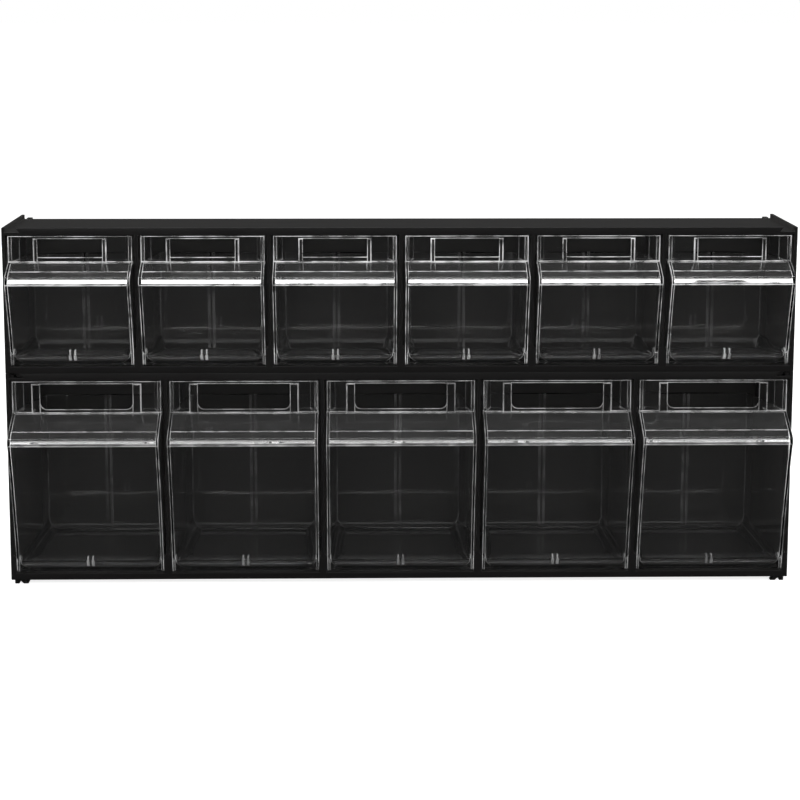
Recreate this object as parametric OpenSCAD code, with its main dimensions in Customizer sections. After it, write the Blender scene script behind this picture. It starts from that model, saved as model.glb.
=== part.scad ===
// Parts bin cabinet: two stacked units, each a black moulded frame that holds a row of
// clear bins. Each bin tips forward on two pins at its lower front corners.
// Millimetres. +X is the width, the front faces -Y and +Z is up. The origin is on the
// floor, in the middle of the whole cabinet's length and depth.

/* [Frames] */
// Width of both frames
frame_w = 600; // [400:10:800]
// Height of the lower unit, from its underside to the top of its side flanges
lower_h = 161.9; // [130:0.1:200]
// Depth of the lower frame, from its front edges to the outside of its back
lower_d = 133.4; // [100:0.1:170]
// Number of bins in the lower unit
lower_bays = 5; // [3:1:8]
// Height of the upper unit, from its underside to the top of its side flanges
upper_h = 111.1; // [95:0.1:140]
// Depth of the upper frame, from its front edges to the outside of its back
upper_d = 92.1; // [75:0.1:130]
// Number of bins in the upper unit
upper_bays = 6; // [3:1:9]
// Thickness of the side walls and of the dividers between bins
wall = 2.4; // [1.6:0.1:4]
// Thickness of the top and bottom plates
plate = 2.4; // [1.6:0.1:4]
// Thickness of the back
back = 2; // [1.5:0.1:4]
// Height of the front sill, from the underside of the unit
sill_h = 5; // [4:0.1:5.4]
// Thickness of the front sill and of the front rim on the top plate
sill_t = 2.4; // [1.6:0.1:4]
// Height that the rest rib at the back of each bay stops below the bin
rest_gap = 0.3; // [0.2:0.1:1]
// Distance of the rest rib in front of the back of the bins
rest_in = 12; // [8:1:30]
// Thickness of the rest rib
rest_t = 2.4; // [1.6:0.1:4]

/* [Stacking rails] */
// Height that the side flanges and the front rim stand above the top plate
channel_h = 3.4; // [2.5:0.1:6]
// Gap between the foot of a hook and the end of the front rim
mouth_gap = 0.2; // [0.1:0.05:3]
// Gap below and beside the feet when one unit stands on another
feet_gap = 0.2; // [0.1:0.05:0.6]
// Width of the straight foot rail under each side
rail_w = 3.4; // [2:0.1:5]
// Width of the leaning hook beside each straight rail
hook_w = 3.8; // [3:0.1:4.2]
// Distance that the foot of the hook leans inwards
hook_lean = 3.2; // [2:0.1:4]
// Distance of the front ends of the rails and hooks behind the front edges
rail_in = 1; // [0.5:0.5:6]
// Length of the hook under the left side
hook_left = 40; // [10:1:60]
// Length of the hook under the right side
hook_right = 6; // [4:1:60]
// Distance that the straight rails stop short of the back of the frame
rail_short = 8; // [6:1:20]
// Height of the stop at the back end of each channel
stop_h = 1.2; // [0.6:0.1:3]
// Width of that stop
stop_w = 4; // [2:0.5:6]
// Length of that stop
stop_l = 6; // [3:0.5:6]

/* [Bins] */
// Gap between two neighbouring bins
bin_gap = 6.5; // [5.5:0.1:9]
// Height of the bottom of a bin above the underside of its unit
bin_lift = 6; // [5.8:0.1:8]
// Thickness of a bin's walls
bin_wall = 1.8; // [1.2:0.1:2.6]
// Thickness of a bin's floor
bin_floor = 2; // [1.4:0.1:3]
// Gap between the top of a bin and the top plate above it
bin_head = 0.5; // [0.4:0.1:1.5]
// Gap between a bin and the back of the frame
bin_tail = 6.5; // [3:0.1:10]
// Distance that each side of a bin draws in towards its back
bin_taper = 4.4; // [1:0.1:6]
// Radius inside a bin, between the floor and the front
scoop_r = 14; // [6:0.5:20]
// Radius inside a bin, between the floor and the sides
side_r = 9; // [4:0.5:12]
// Radius inside a bin, between the floor and the back
heel_r = 6; // [3:0.5:10]
// Radius outside a bin along the bottom edges of the front and the back
toe_r = 3; // [2:0.5:5]
// How much the front bows out towards the lip; 1 is a straight slope
front_bow = 1.25; // [1:0.05:1.6]
// Distance that the lip stands out from the front below it
lip_step = 1; // [0.5:0.1:2]
// Radius of the edge where the hood turns down into the lip
lip_r = 3; // [1:0.1:3.5]
// Depth of the slope that thickens the lip inside, between the front and the hood
lip_fill = 7; // [1:0.5:8]
// Thickness of the upright panel at the top of the front
panel_t = 2; // [1.4:0.1:3]
// Height of the rail above the window in that panel
rail_h = 2.2; // [1.5:0.1:4]
// Distance that the posts beside the window stand out from the panel
post_out = 0.8; // [0.4:0.1:1.5]
// Depth of the corner shelves behind the panel
shelf_d = 17; // [10:0.5:24]
// Distance that the cheeks above those shelves draw in
cheek_in = 5; // [2:0.1:8]
// Thickness of the ribs that hold a divider plate
rib_t = 1.2; // [0.8:0.1:2]
// Gap between the two ribs of a pair
rib_gap = 2.6; // [1.6:0.1:4]
// Height of the short pair of ribs at the front
prong_h = 10; // [5:0.5:20]
// Distance that the short ribs reach in from the front
prong_l = 4; // [2:0.5:8]
// Thickness that the sides gain inside, behind the slots for the pins
boss_out = 1; // [0.5:0.1:2]
// Width of the rim of that thicker part around the slot
boss_rim = 1.8; // [1:0.1:3]

/* [Lower bins] */
// Distance that the lip stands in front of the frame
lower_lip_out = 27.5; // [15:0.1:40]
// Top of the lip, above the underside of the unit
lower_lip_top = 116.2; // [90:0.1:130]
// Height of the lip's front face
lower_lip_h = 5; // [3:0.1:8]
// Height where the hood meets the upright panel
lower_hood_top = 131.4; // [110:0.1:145]
// Top of the back of the bin
lower_back_top = 120.4; // [90:0.1:130]
// Width of the window in the panel
lower_window_w = 70; // [40:0.5:85]
// Distance from the hood to the bottom of the window
lower_window_up = 2.6; // [1:0.1:6]
// Radius of the bottom corners of the window
lower_window_r = 5; // [0.5:0.1:8]
// Width of the posts beside the window
lower_post_w = 6.2; // [2:0.1:8]

/* [Upper bins] */
// Distance that the lip stands in front of the frame
upper_lip_out = 20; // [10:0.1:27]
// Top of the lip, above the underside of the unit
upper_lip_top = 75.5; // [60:0.1:85]
// Height of the lip's front face
upper_lip_h = 5.4; // [3:0.1:8]
// Height where the hood meets the upright panel
upper_hood_top = 85.2; // [70:0.1:92]
// Top of the back of the bin
upper_back_top = 81.5; // [60:0.1:88]
// Width of the window in the panel
upper_window_w = 48.5; // [30:0.5:65]
// Distance from the hood to the bottom of the window
upper_window_up = 3.6; // [1:0.1:6]
// Radius of the bottom corners of the window
upper_window_r = 0.8; // [0.5:0.1:8]
// Width of the posts beside the window
upper_post_w = 2.8; // [2:0.1:8]

/* [Pivots] */
// Distance of the pivot behind the front edges of the frame
pivot_d = 6; // [4:0.1:9]
// Height of the pivot above the underside of the unit
pivot_z = 13; // [11:0.1:16]
// Radius of the pivot pins
pin_r = 3; // [2:0.1:4]
// Gap around a pin in its slot
pin_gap = 0.3; // [0.2:0.05:0.5]
// Distance that a pin reaches out of its lug
pin_out = 2.2; // [1.5:0.1:3]
// Gap between a lug and the bin beside it
lug_gap = 0.35; // [0.3:0.05:0.8]
// Height of the lugs, from the underside of the unit
lug_h = 19.6; // [17:0.1:24]
// Depth of the lugs from front to back
lug_d = 14; // [10:0.5:20]

/* [Hidden] */
$fn = 48;
// Overlap that joins two shapes of one solid
EPS = 0.01;
// Distance that a cutting shape runs past what it cuts
BEYOND = 10;
// Numbers of steps in the curves of a bin's outline
TOE_STEPS = 6;
SCOOP_STEPS = 10;
HEEL_STEPS = 8;
FRONT_STEPS = 12;
LIP_STEPS = 8;
BLACK = "#232325";
CLEAR = [0.86, 0.9, 0.92, 0.35];

// The columns of a unit's list of sizes
HEIGHT = 0;
DEPTH = 1;
BAYS = 2;
LIP_OUT = 3;
LIP_TOP = 4;
LIP_H = 5;
HOOD_TOP = 6;
BACK_TOP = 7;
WINDOW_W = 8;
WINDOW_UP = 9;
WINDOW_R = 10;
POST_W = 11;

LOWER = [
    lower_h, lower_d, lower_bays,
    lower_lip_out, lower_lip_top, lower_lip_h, lower_hood_top, lower_back_top,
    lower_window_w, lower_window_up, lower_window_r, lower_post_w
];
UPPER = [
    upper_h, upper_d, upper_bays,
    upper_lip_out, upper_lip_top, upper_lip_h, upper_hood_top, upper_back_top,
    upper_window_w, upper_window_up, upper_window_r, upper_post_w
];

// Where the units stand: the front edges of both frames are in one plane
foot_h = channel_h - feet_gap;
lower_z = foot_h;
upper_z = lower_z + lower_h;
front_y = (lower_lip_out - lower_d) / 2;

// Heights above the underside of a unit
plate_top = function (u) u[HEIGHT] - channel_h;
plate_under = function (u) plate_top(u) - plate;
floor_top = bin_lift + bin_floor;
front_foot = bin_lift + toe_r;

// Widths and depths within a unit
pitch = function (u) (frame_w - wall) / u[BAYS];
bay_x = function (u, i) (i - (u[BAYS] + 1) / 2) * pitch(u);
wall_x = function (u, i) (i - u[BAYS] / 2) * pitch(u);
bin_half = function (u) (pitch(u) - bin_gap) / 2;
bin_d = function (u) u[DEPTH] - back - bin_tail;
bin_top = function (u) plate_under(u) - bin_head;
lug_w = bin_gap - 2 * lug_gap;
slot_r = pin_r + pin_gap;

// Outline of a bin: y is the distance behind the front plane of the frame
lip_low = function (u) u[LIP_TOP] - u[LIP_H];
front_at = function (u, z)
    -(u[LIP_OUT] - lip_step) * pow((z - front_foot) / (lip_low(u) - front_foot), front_bow);
hood_at = function (u, y)
    u[LIP_TOP] + (u[HOOD_TOP] - u[LIP_TOP]) * (y + u[LIP_OUT]) / u[LIP_OUT];
hood_angle = function (u) atan2(u[HOOD_TOP] - u[LIP_TOP], u[LIP_OUT]);
hood_drop = function (u) bin_wall / cos(hood_angle(u));
taper_angle = function (u) atan2(bin_taper, bin_d(u));

// Points of an arc of radius r about [y, z]
arc = function (y, z, r, from, to, steps)
    [for (i = [0 : steps]) let (a = from + (to - from) * i / steps) [y + r * cos(a), z + r * sin(a)]];

// The round edge at the top of the lip, tangent to the lip and to the hood
lip_edge = function (u)
    let (
        y = lip_r - u[LIP_OUT],
        z = hood_at(u, y) - lip_r / cos(hood_angle(u))
    )
    arc(y, z, lip_r, 180, 90 + hood_angle(u), LIP_STEPS);

// The front of a bin, from low to high, moved back by shift
front_curve = function (u, low, high, shift)
    [for (i = [0 : FRONT_STEPS]) let (z = low + (high - low) * i / FRONT_STEPS) [front_at(u, z) + shift, z]];

outer_outline = function (u) concat(
    arc(toe_r, front_foot, toe_r, 270, 180, TOE_STEPS),
    front_curve(u, front_foot + EPS, lip_low(u), 0),
    [[-u[LIP_OUT], lip_low(u)]],
    lip_edge(u),
    [[0, u[HOOD_TOP]], [shelf_d, u[HOOD_TOP]], [bin_d(u), u[BACK_TOP]]],
    arc(bin_d(u) - toe_r, front_foot, toe_r, 0, -90, TOE_STEPS)
);

inner_outline = function (u)
    let (
        scoop_z = floor_top + scoop_r,
        scoop_y = front_at(u, scoop_z) + bin_wall + scoop_r,
        lip_y = lip_step + bin_wall - u[LIP_OUT],
        fill_y = lip_y + lip_fill,
        fill_z = hood_at(u, fill_y) - hood_drop(u),
        heel_y = bin_d(u) - bin_wall - heel_r
    )
    concat(
        arc(scoop_y, scoop_z, scoop_r, 270, 180, SCOOP_STEPS),
        front_curve(u, scoop_z + EPS, lip_low(u), bin_wall),
        [[lip_y, max(lip_low(u) + EPS, fill_z - lip_fill)], [fill_y, fill_z]],
        [[panel_t, hood_at(u, panel_t) - hood_drop(u)]],
        [[panel_t, bin_top(u) + BEYOND], [heel_y + heel_r, bin_top(u) + BEYOND]],
        arc(heel_y, floor_top + heel_r, heel_r, 0, -90, HEEL_STEPS)
    );

// Turns an outline in depth and height into a solid of the given width across X
module across(width) {
    rotate([90, 0, 90])
        linear_extrude(width, center = true)
            children();
}

// Turns an outline in width and height into a solid from y = 0 to y = length
module along(length) {
    translate([0, length, 0])
        rotate([90, 0, 0])
            linear_extrude(length)
                children();
}

// ---- Frame ----

// Front view of a lug: upright sides and a round top
module lug_outline() {
    translate([-lug_w / 2, 0])
        square([lug_w, lug_h - lug_w / 2]);
    translate([0, lug_h - lug_w / 2])
        circle(r = lug_w / 2);
}

// A lug at the foot of a wall, with the pins for the bins on its two sides
module lug() {
    along(lug_d)
        lug_outline();
    translate([0, pivot_d, pivot_z])
        rotate([0, 90, 0])
            cylinder(r = pin_r, h = lug_w + 2 * pin_out, center = true);
}

// Rails under the left side: a straight one, and a hook that leans inwards
module feet(u, hook_length) {
    rail_x = -frame_w / 2 + wall + feet_gap;
    hook_x = rail_x + rail_w - EPS;
    translate([rail_x, rail_in, -foot_h])
        cube([rail_w, u[DEPTH] - rail_short - rail_in, foot_h + plate / 2]);
    translate([0, rail_in, 0])
        along(hook_length)
            polygon([
                [hook_x, plate / 2], [hook_x + hook_w, plate / 2], [hook_x + hook_w, 0],
                [hook_x + hook_w + hook_lean, -foot_h], [hook_x + hook_lean, -foot_h], [hook_x, 0]
            ]);
}

// Rim along the front of the top plate, with ends that lean like the hooks
module front_rim(u) {
    top_x = frame_w / 2 - (wall + feet_gap + rail_w + hook_w + mouth_gap);
    along(sill_t)
        polygon([
            [-top_x, u[HEIGHT]], [top_x, u[HEIGHT]],
            [top_x - hook_lean, plate_top(u) - EPS], [-top_x + hook_lean, plate_top(u) - EPS]
        ]);
}

// One moulded frame: plates, back, side walls, dividers, lugs and stacking rails
module frame(u) {
    difference() {
        translate([-frame_w / 2, 0, 0])
            cube([frame_w, u[DEPTH], u[HEIGHT]]);
        // Bays for the bins, open at the front
        for (i = [1 : u[BAYS]])
            translate([bay_x(u, i) - (pitch(u) - wall) / 2, -BEYOND, plate])
                cube([pitch(u) - wall, u[DEPTH] - back + BEYOND, plate_under(u) - plate]);
        // Space above the top plate, between the side flanges
        translate([-frame_w / 2 + wall, -BEYOND, plate_top(u)])
            cube([frame_w - 2 * wall, u[DEPTH] + 2 * BEYOND, channel_h + BEYOND]);
    }
    // Sill and rest rib
    translate([-frame_w / 2 + EPS, 0, EPS])
        cube([frame_w - 2 * EPS, sill_t, sill_h - EPS]);
    translate([-frame_w / 2 + EPS, bin_d(u) - rest_in, EPS])
        cube([frame_w - 2 * EPS, rest_t, bin_lift - rest_gap - EPS]);
    front_rim(u);
    // Lugs, kept inside the width of the frame
    intersection() {
        for (i = [0 : u[BAYS]])
            translate([wall_x(u, i), 0, 0])
                lug();
        translate([-frame_w / 2 + EPS, 0, EPS])
            cube([frame_w - 2 * EPS, u[DEPTH], u[HEIGHT]]);
    }
    feet(u, hook_left);
    mirror([1, 0, 0])
        feet(u, hook_right);
    // Stops at the back of the channels
    for (side = [0, 1])
        mirror([side, 0, 0])
            translate([-frame_w / 2 + 2 * wall, u[DEPTH] - stop_l, plate_top(u) - EPS])
                cube([stop_w, stop_l, stop_h + EPS]);
}

// ---- Bin ----

// Plan view of the outside of a bin: parallel in front of the frame, tapered behind it
module bin_plan(u) {
    half = bin_half(u);
    tail = half - bin_taper;
    polygon([
        [-half, -u[LIP_OUT] - BEYOND], [half, -u[LIP_OUT] - BEYOND], [half, 0],
        [tail, bin_d(u)], [-tail, bin_d(u)], [-half, 0]
    ]);
}

// Space beside the right wall of a bin, with the round edge along the floor
module side_space(u) {
    half = bin_half(u) - bin_wall;
    ahead = u[LIP_OUT] + BEYOND;
    width = 4 * half;
    translate([half, 0, 0])
        rotate([0, 0, taper_angle(u)])
            translate([-width, -ahead, 0])
                along(ahead + bin_d(u) + BEYOND) {
                    translate([0, floor_top + side_r])
                        square([width, u[HEIGHT]]);
                    translate([0, floor_top])
                        square([width - side_r, u[HEIGHT]]);
                    translate([width - side_r, floor_top + side_r])
                        circle(r = side_r);
                }
}

// The space inside a bin
module bin_space(u) {
    intersection() {
        across(2 * (bin_half(u) - bin_wall))
            polygon(inner_outline(u));
        side_space(u);
        mirror([1, 0, 0])
            side_space(u);
    }
}

// Front view of the window in the panel, with round bottom corners
module window_outline(u) {
    w = u[WINDOW_W];
    r = u[WINDOW_R];
    low = u[HOOD_TOP] + u[WINDOW_UP];
    h = bin_top(u) - rail_h - low;
    translate([-w / 2, low + r])
        square([w, h - r]);
    translate([-w / 2 + r, low])
        square([w - 2 * r, h]);
    for (side = [-1, 1])
        translate([side * (w / 2 - r), low + r])
            circle(r = r);
}

// Upright panel at the top of the front, with its window and posts
module bin_panel(u) {
    half = bin_half(u);
    low = u[HOOD_TOP] - bin_wall;
    difference() {
        translate([-half, 0, low])
            cube([2 * half, panel_t, bin_top(u) - low]);
        translate([0, -BEYOND, 0])
            along(panel_t + 2 * BEYOND)
                window_outline(u);
    }
    for (side = [-1, 1])
        translate([side * (u[WINDOW_W] + u[POST_W]) / 2 - u[POST_W] / 2, -post_out, u[HOOD_TOP]])
            cube([u[POST_W], post_out + panel_t / 2, bin_top(u) - rail_h - u[HOOD_TOP]]);
}

// Cheek and shelf behind the right end of the panel
module bin_corner(u) {
    half = bin_half(u);
    shelf_x = u[WINDOW_W] / 2 + u[POST_W];
    translate([0, 0, u[HOOD_TOP] - bin_wall])
        linear_extrude(bin_top(u) - u[HOOD_TOP] + bin_wall)
            polygon([
                [half - bin_wall, 0], [half, 0],
                [half - cheek_in, shelf_d], [half - cheek_in - bin_wall, shelf_d]
            ]);
    translate([shelf_x, EPS, u[HOOD_TOP] - bin_wall])
        cube([half - shelf_x - 1, shelf_d - EPS, bin_wall]);
}

// Pair of ribs, one on each side of the middle of a bin
module rib_pair(y, length, low, height) {
    for (side = [-1, 1])
        translate([side * (rib_gap + rib_t) / 2 - rib_t / 2, y, low])
            cube([rib_t, length, height]);
}

// Thicker parts of the two sides, inside the bin behind the slots
module pin_bosses(u) {
    for (side = [0, 1])
        mirror([side, 0, 0])
            translate([bin_half(u) - bin_wall - boss_out, pivot_d, pivot_z])
                rotate([0, 90, 0])
                    cylinder(r = slot_r + boss_rim, h = boss_out + bin_wall / 2);
}

// Slots in the two sides that drop over the pins
module pin_slots(u) {
    x = bin_half(u) + lug_gap - pin_out - pin_gap;
    for (side = [0, 1])
        mirror([side, 0, 0])
            translate([x, pivot_d, 0]) {
                translate([0, 0, pivot_z])
                    rotate([0, 90, 0])
                        cylinder(r = slot_r, h = BEYOND);
                translate([0, -slot_r, 0])
                    cube([BEYOND, 2 * slot_r, pivot_z]);
            }
}

// One bin: a tapered box with a sloping front, a lip and a hood, open at the top
module bin(u) {
    swing_r = bin_top(u) - pivot_z;
    difference() {
        union() {
            difference() {
                intersection() {
                    across(2 * bin_half(u))
                        polygon(outer_outline(u));
                    linear_extrude(u[HEIGHT])
                        bin_plan(u);
                }
                bin_space(u);
            }
            bin_panel(u);
            // Cheeks, with tops cut to the arc that they swing through
            intersection() {
                union() {
                    bin_corner(u);
                    mirror([1, 0, 0])
                        bin_corner(u);
                }
                translate([0, pivot_d, pivot_z])
                    rotate([0, 90, 0])
                        cylinder(r = swing_r, h = frame_w, center = true, $fn = 240);
            }
            rib_pair(bin_d(u) - bin_wall - rib_t, rib_t + EPS, floor_top - EPS,
                u[BACK_TOP] - floor_top);
            rib_pair(bin_wall, prong_l, floor_top - EPS, prong_h);
            pin_bosses(u);
        }
        pin_slots(u);
    }
}

// ---- Nodes ----

module frame_lower() {
    color(BLACK)
        translate([0, front_y, lower_z])
            frame(LOWER);
}

module frame_upper() {
    color(BLACK)
        translate([0, front_y, upper_z])
            frame(UPPER);
}

module bin_lower(i) {
    color(CLEAR)
        translate([bay_x(LOWER, i), front_y, lower_z])
            bin(LOWER);
}

module bin_upper(i) {
    color(CLEAR)
        translate([bay_x(UPPER, i), front_y, upper_z])
            bin(UPPER);
}

frame_lower();
frame_upper();
bin_lower(1);  // bin_lower_1
bin_lower(2);  // bin_lower_2
bin_lower(3);  // bin_lower_3
bin_lower(4);  // bin_lower_4
bin_lower(5);  // bin_lower_5
bin_upper(1);  // bin_upper_1
bin_upper(2);  // bin_upper_2
bin_upper(3);  // bin_upper_3
bin_upper(4);  // bin_upper_4
bin_upper(5);  // bin_upper_5
bin_upper(6);  // bin_upper_6
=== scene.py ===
"""Parts bin cabinet: two stacked black units with clear tip-out bins, in a plain pale studio.

Metres, in the frame of the CAD model: +X to the right, the front faces -Y, +Z up.
"""
import math

import bpy
from mathutils import Matrix, Vector

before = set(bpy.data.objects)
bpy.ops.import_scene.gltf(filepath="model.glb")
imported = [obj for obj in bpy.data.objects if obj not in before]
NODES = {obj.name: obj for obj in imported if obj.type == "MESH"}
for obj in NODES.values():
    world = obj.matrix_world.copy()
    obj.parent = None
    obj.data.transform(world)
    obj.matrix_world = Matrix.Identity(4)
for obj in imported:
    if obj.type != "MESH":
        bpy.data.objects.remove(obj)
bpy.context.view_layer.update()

MM = 0.001
FRAMES = [name for name in sorted(NODES) if name.startswith("frame_")]
BINS = [name for name in sorted(NODES) if name.startswith("bin_")]

# ---- Camera: fitted to the photograph, 800 pixels wide ----

PHOTO_W = 800
CAMERA_AT = Vector((-30, -1536, 449)) * MM
CAMERA_YAW = 1.13  # degrees, to the right
CAMERA_PITCH = 8.74  # degrees, downwards
CAMERA_ROLL = 0.06
FOCAL_PX = 1983
AXIS_PX = 300  # distance of the lens axis from the top of the picture
SENSOR_MM = 36


def make_camera():
    """The camera of the photograph: a long lens, a little above the cabinet."""
    data = bpy.data.cameras.new("camera")
    data.sensor_width = SENSOR_MM
    data.lens = FOCAL_PX * SENSOR_MM / PHOTO_W
    data.shift_y = (AXIS_PX - PHOTO_W / 2) / PHOTO_W
    camera = bpy.data.objects.new("camera", data)
    turn = Matrix.Rotation(math.radians(-CAMERA_YAW), 4, "Z")
    tilt = Matrix.Rotation(math.radians(90 - CAMERA_PITCH), 4, "X")
    roll = Matrix.Rotation(math.radians(CAMERA_ROLL), 4, "Z")
    camera.matrix_world = Matrix.Translation(CAMERA_AT) @ turn @ tilt @ roll
    bpy.context.scene.collection.objects.link(camera)
    bpy.context.scene.camera = camera


# ---- Shader helpers ----


def linear(code, alpha=1.0):
    """An sRGB hex colour as linear red, green, blue and alpha."""
    parts = [int(code[i : i + 2], 16) / 255 for i in (1, 3, 5)]
    return [c / 12.92 if c <= 0.04045 else ((c + 0.055) / 1.055) ** 2.4 for c in parts] + [alpha]


def add(tree, kind, inputs=(), **settings):
    """Adds a shader node; inputs maps sockets to values or to other nodes' outputs."""
    node = tree.nodes.new("ShaderNode" + kind)
    for name, value in settings.items():
        setattr(node, name, value)
    for socket, value in dict(inputs).items():
        if isinstance(value, bpy.types.NodeSocket):
            tree.links.new(value, node.inputs[socket])
        else:
            node.inputs[socket].default_value = value
    return node


def new_material(name):
    """An empty node material and its tree."""
    material = bpy.data.materials.new(name)
    material.use_nodes = True
    material.node_tree.nodes.clear()
    return material, material.node_tree


def finish_material(tree, shader):
    """Sends a shader to the surface."""
    add(tree, "OutputMaterial", {"Surface": shader.outputs[0]})


# ---- Materials ----


POLYSTYRENE_IOR = 1.59
BLACK = "#161515"
# painted light: the lighter grey painted on the frames inside the shaded bays
BAY_PAINTED_LIGHT = "#343332"
FACE_END = -52 * MM  # the frames' front faces lie in front of this
BAY_START = -46 * MM  # and the bays are fully painted with the lighter grey behind this
WALL_IN = 298 * MM  # the outer walls turn black again between these two
WALL_OUT = 299.5 * MM
FACING_FROM, FACING_TO = 0.5, 0.7  # part of a normal where a face begins to look that way
UPWARD_PAINTED_SHARE = 0.45  # share of the bays' painted light on faces that look up
OUTSIDE_PAINTED_SHARE = 0.3  # share of it on the backs and the outer sides
GRAIN = 1.1 * MM  # size of the mould texture, drawn coarser than real so that it shows
GRAIN_DEPTH = 0.02 * MM
CLOUD = 60 * MM  # size of the patches of duller and shinier surface
SATIN_FROM, SATIN_TO = 0.3, 0.38  # roughness of the shinier and of the duller patches


def black_polystyrene():
    """Frames: high-impact polystyrene, injection moulded in a lightly textured mould.
    The eye sees a deep black with a soft satin sheen. Inside the bays the colour is painted a
    lighter grey, painted light that stands in for light reaching into the shaded bays, with less
    of it on faces that look up, back or out."""
    material, tree = new_material("black_polystyrene_painted_bay_light")
    coordinate = add(tree, "TexCoord")
    place = coordinate.outputs["Object"]
    along = add(tree, "SeparateXYZ", {0: place})
    aside = add(tree, "Math", {0: along.outputs["X"]}, operation="ABSOLUTE")
    facing = add(tree, "SeparateXYZ", {0: coordinate.outputs["Normal"]})
    upward = add(tree, "MapRange", {"Value": facing.outputs["Z"], "From Min": FACING_FROM,
                                    "From Max": FACING_TO, "To Min": 1.0,
                                    "To Max": UPWARD_PAINTED_SHARE})
    backward = add(tree, "MapRange", {"Value": facing.outputs["Y"], "From Min": FACING_FROM,
                                      "From Max": FACING_TO,
                                      "To Min": upward.outputs["Result"],
                                      "To Max": OUTSIDE_PAINTED_SHARE})
    within = add(tree, "MapRange", {"Value": aside.outputs[0], "From Min": WALL_IN,
                                    "From Max": WALL_OUT,
                                    "To Min": backward.outputs["Result"],
                                    "To Max": OUTSIDE_PAINTED_SHARE})
    # painted light: behind the front faces the colour turns to the lighter grey of the shaded
    # bays
    bay_light_mask = add(tree, "MapRange", {"Value": along.outputs["Y"], "From Min": FACE_END,
                                   "From Max": BAY_START, "To Min": 0.0,
                                   "To Max": within.outputs["Result"]})
    black = add(tree, "Mix", {"Factor": bay_light_mask.outputs["Result"], "A": linear(BLACK),
                              "B": linear(BAY_PAINTED_LIGHT)}, data_type="RGBA")
    grain = add(tree, "TexNoise", {"Vector": place, "Scale": 1 / GRAIN, "Detail": 3.0})
    cloud = add(tree, "TexNoise", {"Vector": place, "Scale": 1 / CLOUD, "Detail": 2.0})
    rough = add(tree, "MapRange", {
        "Value": cloud.outputs["Fac"], "From Min": 0.3, "From Max": 0.7,
        "To Min": SATIN_FROM, "To Max": SATIN_TO})
    bump = add(tree, "Bump", {"Height": grain.outputs["Fac"], "Distance": GRAIN_DEPTH,
                              "Strength": 0.6})
    shader = add(tree, "BsdfPrincipled", {
        "Base Color": black.outputs["Result"],
        "Roughness": rough.outputs["Result"],
        "IOR": POLYSTYRENE_IOR,
        "Specular IOR Level": 0.5,
        "Normal": bump.outputs["Normal"]})
    finish_material(tree, shader)
    return material


WAVE = 35 * MM  # size of the waves in the bins' flat faces
WAVE_DEPTH = 0.25 * MM
POLISHED = 0.02  # roughness from a polished mould
FLAT_CLEAR = 0.998  # how clear the upright faces are
DUSTY_CLEAR = 0.99  # how clear the faces are that look up
DUST_FROM, DUST_TO = 0.3, 0.85  # part of a normal that is upwards where dust lies


def clear_polystyrene():
    """Bins: crystal-clear polystyrene from a polished mould, with a trace of dust on top.
    The eye sees through them, with a faint waviness in the flats."""
    material, tree = new_material("clear_polystyrene_moulded")
    place = add(tree, "TexCoord")
    wave = add(tree, "TexNoise", {"Vector": place.outputs["Object"], "Scale": 1 / WAVE,
                                  "Detail": 1.0})
    bump = add(tree, "Bump", {"Height": wave.outputs["Fac"], "Distance": WAVE_DEPTH,
                              "Strength": 0.5})
    facing = add(tree, "SeparateXYZ", {0: place.outputs["Normal"]})
    clear = add(tree, "MapRange", {"Value": facing.outputs["Z"], "From Min": DUST_FROM,
                                   "From Max": DUST_TO, "To Min": FLAT_CLEAR,
                                   "To Max": DUSTY_CLEAR})
    shader = add(tree, "BsdfPrincipled", {
        "Base Color": linear("#FCFCFC"),
        "Roughness": POLISHED,
        "IOR": POLYSTYRENE_IOR,
        "Transmission Weight": clear.outputs["Result"],
        "Normal": bump.outputs["Normal"]})
    finish_material(tree, shader)
    return material


PATCH = 12 * MM  # length of the stretches of an edge with more and with less painted highlight
EDGE_FRONT = -48 * MM  # the painted highlight on the bins' edges is brightest in front of this
EDGE_INSIDE = -20 * MM  # and clearest behind this
UNIT_SEAM = 165 * MM  # height at which the upper unit stands on the lower one
CLEAR_STRETCH = (0.86, 0.98)  # how clear the clear stretches are, in front and inside
HIGHLIGHT_LOWER = 0.55  # how clear the stretches in front are on the lower bins; the rest is a painted highlight
HIGHLIGHT_UPPER = 0.15  # and on the upper bins, painted brighter as they are nearer to the light
HIGHLIGHT_INSIDE = 0.86  # and inside the bins
RUBBED = 0.08  # roughness of edges that hands and parts rub against


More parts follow.
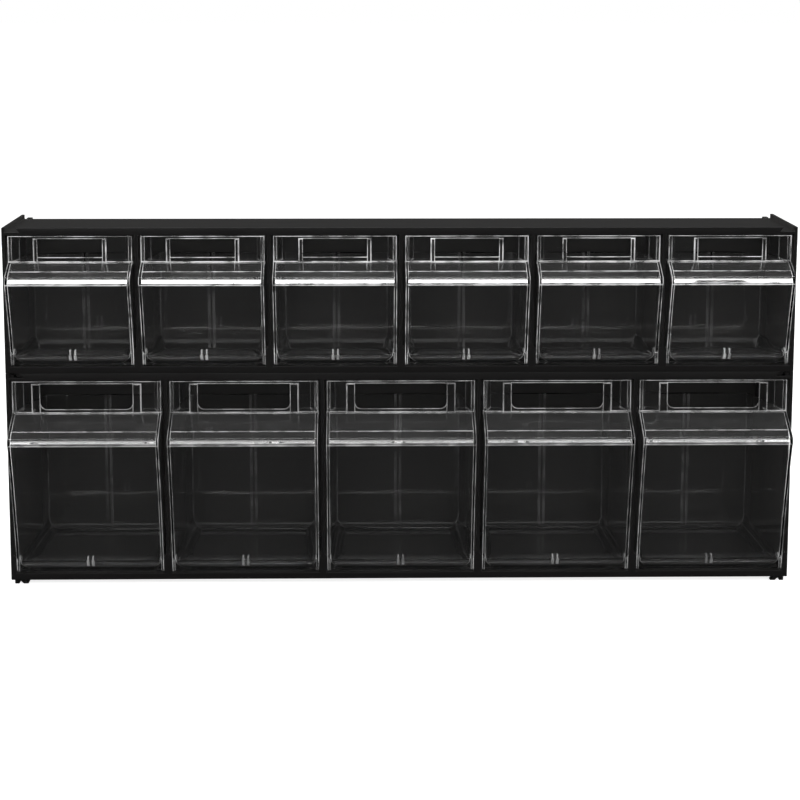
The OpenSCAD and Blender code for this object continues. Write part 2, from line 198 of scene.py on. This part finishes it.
def edge_polystyrene():
    """Rounded edges of the bins: the same plastic with a painted highlight, a white matt share
    in place of clearness. The eye sees a pale line where two faces meet, painted brightest at
    the front of a bin and on the upper bins, which are nearer to the light."""
    material, tree = new_material("clear_polystyrene_edge_painted_highlight")
    place = add(tree, "TexCoord").outputs["Object"]
    patch = add(tree, "TexNoise", {"Vector": place, "Scale": 1 / PATCH, "Detail": 4.0})
    along = add(tree, "SeparateXYZ", {0: place})
    clearest = add(tree, "MapRange", {"Value": along.outputs["Y"], "From Min": EDGE_FRONT,
                                      "From Max": EDGE_INSIDE, "To Min": CLEAR_STRETCH[0],
                                      "To Max": CLEAR_STRETCH[1]})
    unit = add(tree, "MapRange", {"Value": along.outputs["Z"], "From Min": UNIT_SEAM - MM,
                                  "From Max": UNIT_SEAM + MM, "To Min": HIGHLIGHT_LOWER,
                                  "To Max": HIGHLIGHT_UPPER})
    painted_highlight = add(tree, "MapRange", {"Value": along.outputs["Y"], "From Min": EDGE_FRONT,
                                    "From Max": EDGE_INSIDE, "To Min": unit.outputs["Result"],
                                    "To Max": HIGHLIGHT_INSIDE})
    # painted highlight: the white matt share, patchy along the edge, stands in for the light the
    # edges catch
    clear = add(tree, "MapRange", {"Value": patch.outputs["Fac"], "From Min": 0.4,
                                   "From Max": 0.62, "To Min": clearest.outputs["Result"],
                                   "To Max": painted_highlight.outputs["Result"]})
    shader = add(tree, "BsdfPrincipled", {
        "Base Color": linear("#FFFFFF"),
        "Roughness": RUBBED,
        "IOR": POLYSTYRENE_IOR,
        "Transmission Weight": clear.outputs["Result"]})
    finish_material(tree, shader)
    return material


# ---- Pieces ----

FRAME_EDGE = 0.35 * MM  # radius of the frames' rounded edges
BIN_EDGE = 0.5 * MM  # and of the bins' edges
SHARP = math.radians(15.5)  # over the steps of the curves, under the slope inside the lip
FLAT = math.radians(0.5)  # facets that differ by less than this are one flat face
SEAM = 0.02 * MM  # points nearer than this are one point


def facet_joiner():
    """A modifier that joins the facets of a CAD mesh at their seams and shades them smooth."""
    tree = bpy.data.node_groups.new("join_facets", "GeometryNodeTree")
    tree.interface.new_socket("Mesh", in_out="INPUT", socket_type="NodeSocketGeometry")
    tree.interface.new_socket("Mesh", in_out="OUTPUT", socket_type="NodeSocketGeometry")
    into = tree.nodes.new("NodeGroupInput")
    join = tree.nodes.new("GeometryNodeMergeByDistance")
    join.inputs["Distance"].default_value = SEAM
    shade = tree.nodes.new("GeometryNodeSetMeshNormal")
    shade.inputs["Remove Custom"].default_value = True
    out = tree.nodes.new("NodeGroupOutput")
    tree.links.new(into.outputs[0], join.inputs["Geometry"])
    tree.links.new(join.outputs[0], shade.inputs["Mesh"])
    tree.links.new(shade.outputs[0], out.inputs[0])
    return tree


JOINER = facet_joiner()


def soften(piece, radius):
    """Joins the facets of a CAD node into whole faces and rounds its sharp edges."""
    join = piece.modifiers.new("join", "NODES")
    join.node_group = JOINER
    flat = piece.modifiers.new("flat", "DECIMATE")
    flat.decimate_type = "DISSOLVE"
    flat.angle_limit = FLAT
    split = piece.modifiers.new("split", "TRIANGULATE")
    split.min_vertices = 5  # faces of three or four corners stay whole
    bevel = piece.modifiers.new("bevel", "BEVEL")
    bevel.width = radius
    bevel.segments = 3
    bevel.limit_method = "ANGLE"
    bevel.angle_limit = SHARP
    bevel.use_clamp_overlap = False
    bevel.loop_slide = False
    bevel.material = len(piece.data.materials) - 1
    shade = piece.modifiers.new("shade", "WEIGHTED_NORMAL")
    shade.mode = "FACE_AREA_WITH_ANGLE"


def dress(names, materials, radius):
    """Gives CAD nodes their materials, the last one on their rounded edges."""
    for name in names:
        piece = NODES[name]
        piece.data.materials.clear()
        for material in materials:
            piece.data.materials.append(material)
        soften(piece, radius)


def light_through(names):
    """Lets the lamps light what lies behind clear plastic."""
    for name in names:
        NODES[name].visible_shadow = False


# ---- Studio ----

FLOOR_HALF = 30.0
FLOOR_GLOW = 0.8  # what makes the floor as white as the background
FLOOR_FRONT = 0.05  # the floor turns from front to back over this distance each way
SKY_FRONT = 0.05  # and the surroundings over this part of a direction each way
SIDE_FROM, SIDE_TO = 0.6, 0.75  # part of a direction that is sideways where the sides begin
HIGH_FROM, HIGH_TO = 0.5, 0.6  # part of it that is upwards where the white behind ends
WHITE = (1, 1, 1, 1)
AMBIENT = 0.45  # light from all round
DARK_ROOM = 0.03  # what the plastic mirrors in front, where no lamp is
DARK_BACK = 0.06  # what it mirrors behind the cabinet
SIDES = 1.6  # what it mirrors far to the left and to the right


def in_front(tree, along, reach):
    """1 in front of the cabinet and 0 behind it, from a coordinate that grows to the back."""
    blend = add(tree, "MapRange", {"Value": along, "From Min": -reach, "From Max": reach,
                                   "To Min": 1.0, "To Max": 0.0})
    return blend.outputs["Result"]


def make_floor():
    """A plain white floor, which keeps the cabinet's shadow."""
    mesh = bpy.data.meshes.new("studio_floor")
    half = FLOOR_HALF
    mesh.from_pydata([(-half, -half, 0), (half, -half, 0), (half, half, 0), (-half, half, 0)],
                     [], [(0, 1, 2, 3)])
    floor = bpy.data.objects.new("studio_floor", mesh)
    bpy.context.scene.collection.objects.link(floor)
    material, tree = new_material("studio_floor_white")
    path = add(tree, "LightPath")
    place = add(tree, "TexCoord").outputs["Object"]
    split = add(tree, "SeparateXYZ", {0: place})
    front = in_front(tree, split.outputs["Y"], FLOOR_FRONT)
    through = add(tree, "MapRange", {"Value": front, "To Max": 0.0,
                                     "To Min": path.outputs["Is Transmission Ray"]})
    seen = add(tree, "Math", {0: path.outputs["Is Camera Ray"],
                              1: through.outputs["Result"]}, operation="MAXIMUM")
    mirrored = add(tree, "Math", {0: path.outputs["Is Glossy Ray"],
                                  1: path.outputs["Is Transmission Ray"]}, operation="MAXIMUM")
    matt = add(tree, "BsdfDiffuse", {"Color": linear("#D8D8D8")})
    glow = add(tree, "Emission", {"Color": WHITE, "Strength": FLOOR_GLOW})
    shown = add(tree, "AddShader", {0: matt.outputs[0], 1: glow.outputs[0]})
    dim = add(tree, "BsdfDiffuse", {"Color": linear("#202020")})
    spread = add(tree, "MapRange", {"Value": path.outputs["Diffuse Depth"],
                                    "To Min": mirrored.outputs[0], "To Max": 0.0})
    plain = add(tree, "MixShader", {0: spread.outputs["Result"], 1: matt.outputs[0],
                                    2: dim.outputs[0]})
    shader = add(tree, "MixShader", {0: seen.outputs[0], 1: plain.outputs[0],
                                     2: shown.outputs[0]})
    finish_material(tree, shader)
    mesh.materials.append(material)


def make_world():
    """White behind everything, a soft even light from all round, and a dark room to mirror."""
    world = bpy.data.worlds.new("studio")
    bpy.context.scene.world = world
    world.use_nodes = True
    tree = world.node_tree
    tree.nodes.clear()
    path = add(tree, "LightPath")
    split = add(tree, "SeparateXYZ", {0: add(tree, "TexCoord").outputs["Generated"]})
    front = in_front(tree, split.outputs["Y"], SKY_FRONT)
    aside = add(tree, "Math", {0: split.outputs["X"]}, operation="ABSOLUTE")
    room = add(tree, "MapRange", {"Value": aside.outputs[0], "From Min": SIDE_FROM,
                                  "From Max": SIDE_TO, "To Min": DARK_ROOM, "To Max": SIDES})
    mirror = add(tree, "MapRange", {"Value": front, "To Min": DARK_BACK,
                                    "To Max": room.outputs["Result"]})
    soft = add(tree, "MapRange", {"Value": path.outputs["Is Glossy Ray"],
                                  "To Min": AMBIENT, "To Max": mirror.outputs["Result"]})
    low = add(tree, "MapRange", {"Value": split.outputs["Z"], "From Min": HIGH_FROM,
                                 "From Max": HIGH_TO, "To Min": 1.0,
                                 "To Max": room.outputs["Result"]})
    through = add(tree, "MapRange", {"Value": front, "To Min": low.outputs["Result"],
                                     "To Max": room.outputs["Result"]})
    clear = add(tree, "MapRange", {"Value": path.outputs["Is Transmission Ray"],
                                   "To Min": soft.outputs["Result"],
                                   "To Max": through.outputs["Result"]})
    level = add(tree, "MapRange", {"Value": path.outputs["Is Camera Ray"],
                                   "To Min": clear.outputs["Result"], "To Max": 1.0})
    around = add(tree, "MapRange", {"Value": path.outputs["Diffuse Depth"],
                                    "To Min": level.outputs["Result"], "To Max": AMBIENT})
    light = add(tree, "Background", {"Color": WHITE, "Strength": around.outputs["Result"]})
    add(tree, "OutputWorld", {"Surface": light.outputs[0]})


def make_softbox(name, at, aim, width, height, radiance):
    """A square lamp with an even face, at a level given as radiance."""
    data = bpy.data.lights.new(name, "AREA")
    data.shape = "RECTANGLE"
    data.size = width
    data.size_y = height
    data.energy = radiance * width * height * math.pi
    lamp = bpy.data.objects.new(name, data)
    lamp.location = at
    lamp.rotation_euler = (Vector(aim) - Vector(at)).to_track_quat("-Z", "Y").to_euler()
    lamp.visible_camera = False
    bpy.context.scene.collection.objects.link(lamp)
    return lamp


MIDDLE = (0, 0, 0.14)  # the middle of the cabinet
FILL_REACH = 2.0  # distance of the fill lamps from the middle
FILL_HEIGHT = 0.4  # and their height over the floor
FILLS = ((0, 2.0), (90, 3.5), (180, 3.5), (270, 3.5))  # degrees from the front, and radiance


def make_lights():
    """A wide soft light straight overhead, one high in front, and a low fill all round that
    only matt surfaces take up."""
    make_softbox("overhead", (0, -0.12, 1.6), (0, -0.12, 0), width=1.6, height=0.5,
                 radiance=4.0)
    make_softbox("front", (0, -1.7, 1.35), MIDDLE, width=2.4, height=0.9, radiance=0.8)
    for turn, radiance in FILLS:
        x = FILL_REACH * math.sin(math.radians(turn))
        y = -FILL_REACH * math.cos(math.radians(turn))
        fill = make_softbox("fill", (x, y, FILL_HEIGHT), MIDDLE, width=2.4, height=0.6,
                            radiance=radiance)
        fill.visible_glossy = False
        fill.visible_transmission = False


# ---- Build ----

make_camera()
dress(FRAMES, [black_polystyrene()], FRAME_EDGE)
dress(BINS, [clear_polystyrene(), edge_polystyrene()], BIN_EDGE)
light_through(BINS)
make_floor()
make_world()
make_lights()
bpy.context.scene.view_settings.view_transform = "Standard"
